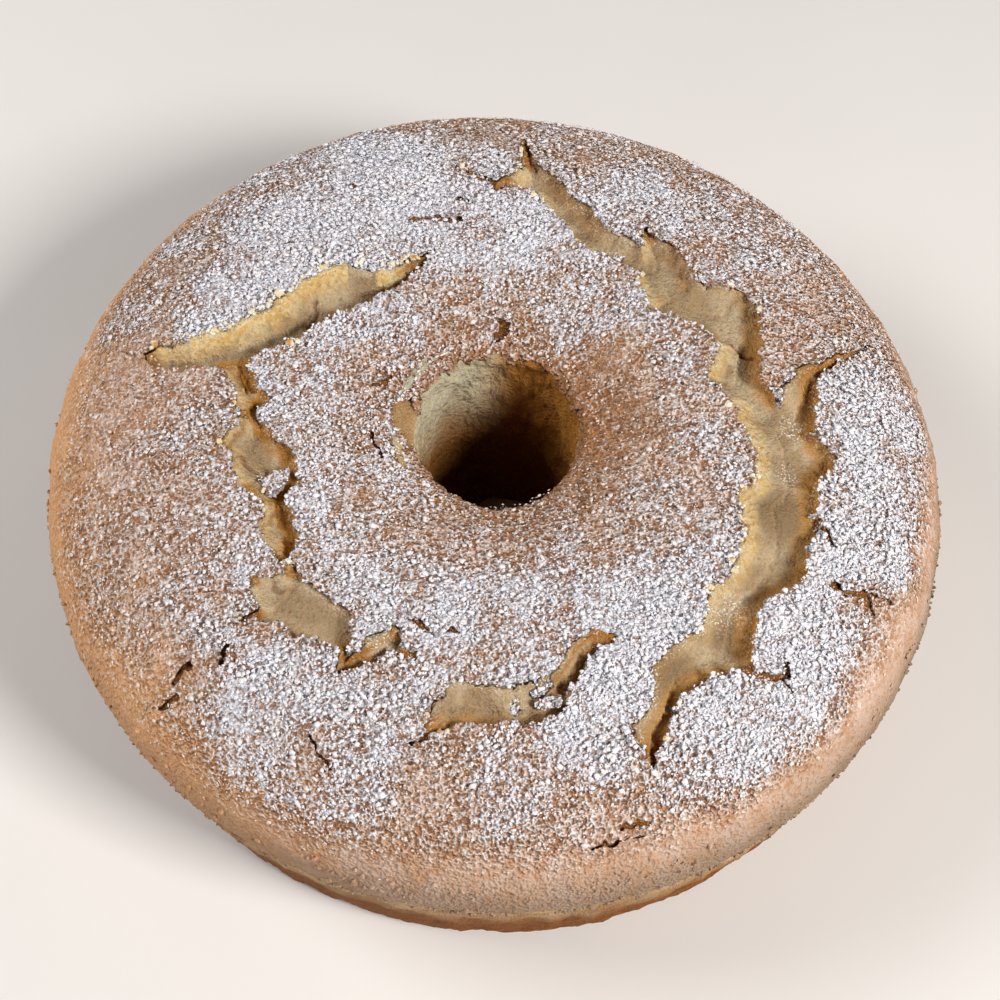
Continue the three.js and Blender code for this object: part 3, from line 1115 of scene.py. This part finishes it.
def tear(bm):
    """Opens the crust at the splits, the cracks and the hole, and draws its points onto the lips."""
    refine(bm, lambda x, y, z: (z > OPEN_ABOVE) & (np.abs(crust_gap(x, y)) < 1.1))
    x, y, z = middles_of(bm).T
    gone = (crust_gap(x, y) > 0) & (z > OPEN_ABOVE)
    doomed = [face for face, out in zip(bm.faces, gone) if out]
    bmesh.ops.delete(bm, geom=doomed, context="FACES")
    torn_verts = [vert for edge in bm.edges if edge.is_boundary for vert in edge.verts]
    lips = list(dict.fromkeys(vert for vert in torn_verts if vert.co.z > OPEN_ABOVE * MM))
    spots = np.array([vert.co[:] for vert in lips]) / MM
    for _ in range(3):
        gap = crust_gap(spots[:, 0], spots[:, 1])
        across, away, length = gap_slope(crust_gap, spots[:, 0], spots[:, 1])
        step = np.clip(gap / length, -0.5, 0.5)
        spots[:, 0] -= across * step
        spots[:, 1] -= away * step
    for vert, spot in zip(lips, (spots * MM).tolist()):
        vert.co = (spot[0], spot[1], vert.co.z)


def hem(bm, drop, back):
    """Turns the crust's open edges down and back under it."""
    rim = [edge for edge in bm.edges if edge.is_boundary]
    rim = [edge for edge in rim if max(vert.co.z for vert in edge.verts) > (SEAM_HEIGHT + 6) * MM]
    made = bmesh.ops.extrude_edge_only(bm, edges=rim)["geom"]
    verts = [item for item in made if isinstance(item, bmesh.types.BMVert)]
    spots = np.array([vert.co[:] for vert in verts]) / MM
    across, away, _ = gap_slope(crust_gap, spots[:, 0], spots[:, 1])
    spots -= np.column_stack([across * back, away * back, np.full(len(spots), drop)])
    for vert, spot in zip(verts, (spots * MM).tolist()):
        vert.co = spot


def dimple(bm):
    """Dents the crust. The sugar spans the dents, so that dark gaps stay between its grains."""
    bmesh.ops.recalc_face_normals(bm, faces=bm.faces[:])
    if sum(face.normal.z for face in bm.faces) < 0:
        bmesh.ops.reverse_faces(bm, faces=bm.faces[:])
    bm.normal_update()
    normals = np.array([vert.normal[:] for vert in bm.verts])
    points = places_of(bm)
    depth = dimples(points) * ramp(points[:, 2], SEAM_HEIGHT - 3, SEAM_HEIGHT + 3)
    move_all(bm, points - normals * depth[:, None])


def crust():
    """The baked skin, cut open along the splits, with thick torn edges that curl up a little."""
    bm = crust_shell()
    tear(bm)
    points = places_of(bm)
    x, y, z = points.T
    points[:, 2] += np.where(z > OPEN_ABOVE, curl(x, y, crust_gap(x, y)), 0)
    move_all(bm, points)
    for drop, back in HEM_FOLDS:
        hem(bm, drop, back)
    dimple(bm)
    material = crust_material()
    for name, side in (("crust_left", -1), ("crust_right", 1)):
        half = bm.copy()
        other = [face for face in half.faces if face.calc_center_median().x * side < 0]
        bmesh.ops.delete(half, geom=other, context="FACES")
        piece = finished(half, name, material)
        colour_crust(piece.data)
    bm.free()


def ruddy(x, y):
    """How far the crust is warmed and lightened along the left and far rim: a warmer tone, with painted
    light.
    """
    return 0.9 * ramp(np.hypot(x, y), 100, 119) * ramp(np.maximum(-x, y), 20, 80)


def seam_shade(x, z, above):
    """How far the crust is darkened toward the seam, most on the right: painted shade, with a greyer
    tone.
    """
    return ramp(z, SEAM_HEIGHT + above, SEAM_HEIGHT + 2) * (0.62 + 0.38 * x / SEAM_RADIUS)


def colour_crust(mesh):
    """Stores where the crust is dusted, browned, and given painted light and painted shade."""
    points = point_array(mesh)
    x, y, z = points.T
    radius = np.hypot(x - HOLE_SHIFT_X, y)
    angle = np.arctan2(y, x - HOLE_SHIFT_X)
    browned = ramp(radius, 44, 25) * (0.5 + 0.3 * np.cos(angle - 0.3))
    tag(mesh, "dusting", dusting(x, y))
    tag(mesh, "ruddy", ruddy(x, y))
    tag(mesh, "brown", np.clip(browned + 0.15 * rough(points, 11, 74, 2), 0, 1))
    tag(mesh, "pale", seam_shade(x, z, 21))


# ---------------------------------------------------------------- scattered sugar


def octahedron():
    """A small lump of eight faces, as a bmesh."""
    bm = bmesh.new()
    corners = [(0, 0, -1), (0, 0, 1), (0, -1, 0), (0, 1, 0), (-1, 0, 0), (1, 0, 0)]
    bmesh.ops.convex_hull(bm, input=[bm.verts.new(corner) for corner in corners])
    return bm


def round_lump():
    """A small lump of twenty faces, as a bmesh."""
    bm = bmesh.new()
    bmesh.ops.create_icosphere(bm, subdivisions=1, radius=1)
    return bm


def copies(bm, count):
    """Fills a bmesh with many copies of its small starting shape, made by doubling."""
    wanted = len(bm.verts) * count
    while len(bm.verts) < wanted:
        short = wanted - len(bm.verts)
        if short >= len(bm.verts):
            source = bm.verts[:] + bm.edges[:] + bm.faces[:]
        else:
            bm.verts.ensure_lookup_table()
            verts = bm.verts[:short]
            kept = set(verts)
            faces = [face for face in bm.faces if all(vert in kept for vert in face.verts)]
            edges = [edge for edge in bm.edges if all(vert in kept for vert in edge.verts)]
            source = verts + edges + faces
        bmesh.ops.duplicate(bm, geom=source)
    return bm


def scatter(name, start, scale, dent, normals, rng, material):
    """A piece of many lumps, and the shape of each: its own size, dents and turn."""
    corners = np.array([vert.co[:] for vert in start.verts])
    count = len(scale)
    piece = finished(copies(start, count), name, material)
    dents = 1 + rng.uniform(-dent, dent, (count, len(corners), 1))
    return piece, turned(corners * dents * scale / 2, normals, rng)


def put_lumps(piece, shapes, middles):
    """Puts each lump of a piece on its own middle."""
    set_points(piece.data, (shapes + middles[:, None, :]).reshape(-1, 3))


def tag_lumps(piece, name, values):
    """Stores a number with each lump of a piece."""
    tag(piece.data, name, np.repeat(values, len(piece.data.vertices) // len(values)))


def turned(shapes, normals, rng):
    """Turns each shape at random about its own upright, then stands it on its normal."""
    count = len(shapes)
    spin = rng.uniform(0, math.tau, count)
    helper = np.where(np.abs(normals[:, :1]) < 0.9, (1.0, 0, 0), (0, 1.0, 0))
    side = np.cross(normals, helper)
    side /= np.linalg.norm(side, axis=1, keepdims=True)
    other = np.cross(normals, side)
    along = side * np.cos(spin)[:, None] + other * np.sin(spin)[:, None]
    across = np.cross(normals, along)
    basis = np.stack([along, across, normals], axis=1)
    return np.einsum("nvk,nkj->nvj", shapes, basis)


def crust_normals(x, y):
    """The direction in which the crust faces."""
    step = 0.5
    slope_x = (top_height(x + step, y) - top_height(x - step, y)) / (2 * step)
    slope_y = (top_height(x, y + step) - top_height(x, y - step)) / (2 * step)
    normals = np.column_stack([-slope_x, -slope_y, np.ones(len(x))])
    return normals / np.linalg.norm(normals, axis=1, keepdims=True)


def wandering_grid(reach, pitch, wander, rng):
    """Places on a square grid, each moved at random by up to a share of the pitch."""
    steps = np.arange(-reach, reach, pitch)
    x, y = (grid.ravel() for grid in np.meshgrid(steps, steps))
    x = x + rng.uniform(-wander, wander, len(x)) * pitch
    y = y + rng.uniform(-wander, wander, len(y)) * pitch
    return x, y


def sown(pitch, rng):
    """Places strewn over the cake's crust, about a pitch apart."""
    reach = SEAM_RADIUS - 2
    x, y = wandering_grid(reach, pitch, 0.6, rng)
    keep = (np.hypot(x, y) < reach) & (crust_gap(x, y) < 0.15) & (hole_by(x, y) < -0.6)
    return x[keep], y[keep]


def on_crust(x, y):
    """Places where sugar lies, over the crust's dimples, and the way in which the crust faces."""
    normals = crust_normals(x, y)
    points = np.column_stack([x, y, top_height(x, y) + curl(x, y, crust_gap(x, y))])
    return points + normals * dimples(points)[:, None], normals


def sprinkle(name, start, material, pitch, size, seed, most, share):
    """Scatters lumps over the crust, more where the sugar lies thick, up to a given number."""
    rng = np.random.default_rng(seed)
    x, y = sown(pitch, rng)
    keep = rng.uniform(0, 1, len(x)) < share(dusting(x, y))
    x, y = x[keep], y[keep]
    if len(x) > most:
        kept = rng.permutation(len(x))[:most]
        x, y = x[kept], y[kept]
    count = len(x)
    scale = rng.uniform(*size, (count, 1, 1)) * rng.uniform(0.6, 1.4, (count, 1, 3)) * (1, 1, 0.55)
    places, normals = on_crust(x, y)
    piece, shapes = scatter(name, start, scale, 0.4, normals, rng, material)
    lift = rng.uniform(-0.1, 0.25, (count, 1)) * scale[:, 0, :1] + 0.05
    put_lumps(piece, shapes, places + normals * lift)
    tag_lumps(piece, "dusting", dusting(x, y))
    return piece


def sugar():
    """The sugar in two sizes of lump."""
    white = sugar_material()
    sprinkle(
        "sugar_clumps", round_lump(), white, pitch=1.25, size=(0.8, 1.45), seed=5, most=9900,
        share=lambda thick: 0.5 * thick**1.8,
    )
    for name, seed in (("sugar_grains_a", 7), ("sugar_grains_b", 8)):
        grains = sprinkle(
            name, octahedron(), white, pitch=1.1, size=(0.4, 0.8), seed=seed, most=24000,
            share=lambda thick: 0.85 * thick**0.9,
        )
        grains.data.shade_flat()


def crumbled(name, places, normals, size, rng, material):
    """Small rough lumps at given places, each turned at random."""
    low, high = size
    count = len(places)
    scale = low + (high - low) * rng.uniform(0, 1, (count, 1, 1)) ** 2
    scale = scale * rng.uniform(0.65, 1.35, (count, 1, 3))
    piece, shapes = scatter(name, round_lump(), scale, 0.35, normals, rng, material)
    piece.data.shade_flat()
    put_lumps(piece, shapes, places)
    return piece


def lip_crumbs():
    """Crumbs along the torn lips, most on the lips that face forward and to the right."""
    rng = np.random.default_rng(31)
    x, y = wandering_grid(108, 0.8, 0.5, rng)
    gap = open_by(x, y)
    near = (gap > -0.5 - 1.3 * cream_at(x, y)) & (gap < 0.5) & (lip_distance(x, y) > -3)
    x, y, gap = x[near], y[near], gap[near]
    across, away, _ = gap_slope(lip_distance, x, y)
    clump = noise(level(x, y), 3, 65)
    share = 0.04 * (gap > -0.5) + 0.5 * ramp(facing(across, away), 0, 0.9) * cream_at(x, y)
    keep = rng.uniform(0, 1, len(x)) < share * ramp(clump, -0.4, 0.3)
    x, y, gap = x[keep], y[keep], gap[keep]
    places, normals = on_crust(x, y)
    sink = np.where(gap > 0, 0.4 + 1.2 * rng.uniform(0, 1, len(x)), 0)
    places = places - normals * (sink[:, None] - 0.1)
    crumbled("lip_crumbs", places, normals, (0.6, 2.0), rng, bits_material())


def rim_nubs():
    """The knobs of crust round the widest part of the cake, ragged at the seam."""
    rng = np.random.default_rng(32)
    angle = rng.uniform(0, math.tau, NUB_COUNT)
    radius = SEAM_RADIUS - 2 * rng.uniform(0, 1, NUB_COUNT) ** 2
    height = crust_height(radius)
    hanging = rng.uniform(0, 1, NUB_COUNT) < 0.75
    radius = np.where(hanging, SEAM_RADIUS - 0.6, radius)
    height = np.where(hanging, SEAM_HEIGHT - rng.uniform(0, 5, NUB_COUNT), height)
    places = pull(np.column_stack([radius * np.cos(angle), radius * np.sin(angle), height]))
    normals = np.column_stack([np.cos(angle), np.sin(angle), np.full(NUB_COUNT, 0.3)])
    normals /= np.linalg.norm(normals, axis=1, keepdims=True)
    material = bpy.data.materials["baked_crust"]
    piece = crumbled("rim_nubs", places, normals, (0.6, 1.6), rng, material)
    x, y, z = places.T
    tag_lumps(piece, "dusting", dusting(x, y))
    # Painted shade toward the seam and painted light on the left and far rim, as on the crust.
    tag_lumps(piece, "pale", seam_shade(x, z, 16))
    tag_lumps(piece, "ruddy", ruddy(x, y))


# ---------------------------------------------------------------- the studio


def studio():
    """The floor and the lights."""
    bm = bmesh.new()
    bmesh.ops.create_grid(bm, x_segments=1, y_segments=1, size=3)
    mesh = bpy.data.meshes.new("floor")
    bm.to_mesh(mesh)
    bm.free()
    floor = bpy.data.objects.new("floor", mesh)
    bpy.context.scene.collection.objects.link(floor)
    make = Maker(bpy.data.materials.new("floor_paper"))
    tone = make.grain(60, 2, 0.5)
    colour = make.blend(tone, rgb(226, 222, 218), rgb(222, 218, 213))
    mesh.materials.append(make.finish(Base_Color=colour, Roughness=0.9))

    world_light()
    lamp("key_light", place=(0.77, -0.54, 0.84), size=0.34, power=16.5, colour=(1, 0.975, 0.95))
    lamp("fill_light", place=(-0.85, 0.15, 0.8), size=0.6, power=8.8, colour=(0.99, 0.98, 0.99))


def world_light():
    """Soft light from all round, weaker from straight above."""
    world = bpy.context.scene.world or bpy.data.worlds.new("studio")
    bpy.context.scene.world = world
    make = Maker(world, "Background", "Generated")
    height = make.node("ShaderNodeSeparateXYZ", {}, {"Vector": make.place}, "Z")
    ends = {"From Min": 0.2, "From Max": 0.8, "To Min": 0.45, "To Max": 0.0}
    fade = make.node("ShaderNodeMapRange", {}, {"Value": height, **ends})
    make.finish(Strength=fade, Color=(1, 0.985, 0.97))


def lamp(name, place, size, power, colour):
    """A square soft lamp that looks at the cake."""
    data = bpy.data.lights.new(name, "AREA")
    data.size = size
    data.energy = power
    data.color = colour
    light = bpy.data.objects.new(name, data)
    light.location = place
    aim = Vector((0, 0, 0.05)) - light.location
    light.rotation_euler = aim.to_track_quat("-Z", "Y").to_euler()
    bpy.context.scene.collection.objects.link(light)


def camera():
    """Looks down on the cake from in front."""
    data = bpy.data.cameras.new("camera")
    data.sensor_width = 36
    data.lens = 60.5
    eye = bpy.data.objects.new("camera", data)
    pitch = math.radians(60.2)
    distance = 477.3 * MM
    target = Vector((2.05, -6.5, 45)) * MM
    eye.location = target + distance * Vector((0, -math.cos(pitch), math.sin(pitch)))
    eye.rotation_euler = (math.pi / 2 - pitch, 0, 0)
    bpy.context.scene.collection.objects.link(eye)
    bpy.context.scene.camera = eye


camera()
studio()
crumb_body()
crust()
sugar()
lip_crumbs()
rim_nubs()
bpy.context.scene.view_settings.view_transform = "Standard"
